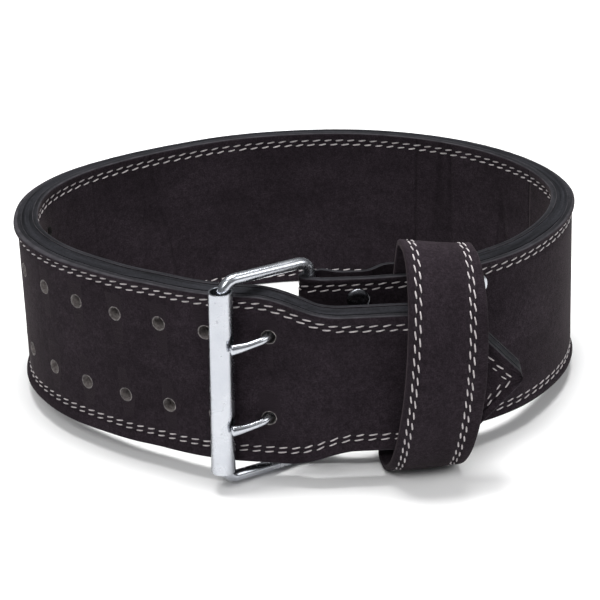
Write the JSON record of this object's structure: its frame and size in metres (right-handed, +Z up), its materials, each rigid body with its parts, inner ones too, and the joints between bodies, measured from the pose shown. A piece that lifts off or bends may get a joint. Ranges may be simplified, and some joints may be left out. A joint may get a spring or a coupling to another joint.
{
  "type": "weightlifting belt",
  "caption": "Wide leather weightlifting belt fastened into a ring: suede plies over a stiff core, two-prong roller buckle, rows of holes, keeper loop and riveted fold.",
  "frame": {"origin": "centre of the bounding box in plan, on the surface that the belt rests on", "axes": "+X along the ring's longer axis, towards the keeper's side; +Y from the buckle to the back of the ring; +Z up"},
  "size_m": [0.335, 0.2884, 0.1372],
  "materials": {
    "suede": "dark brown suede, matt, with a short nap",
    "core_leather": "dark blue-grey cut and dyed edge",
    "plated_steel": "bright plated steel wire and tube"
  },
  "bodies": {
    "root": {"suede_outer": "suede", "core": "core_leather", "suede_inner": "suede", "keeper": "suede", "buckle_frame": "plated_steel", "roller": "plated_steel", "prong_upper": "plated_steel", "prong_lower": "plated_steel", "rivet_bar_upper": "plated_steel", "rivet_bar_lower": "plated_steel", "rivet_core_upper": "plated_steel", "rivet_core_lower": "plated_steel"}
  },
  "joints": []
}
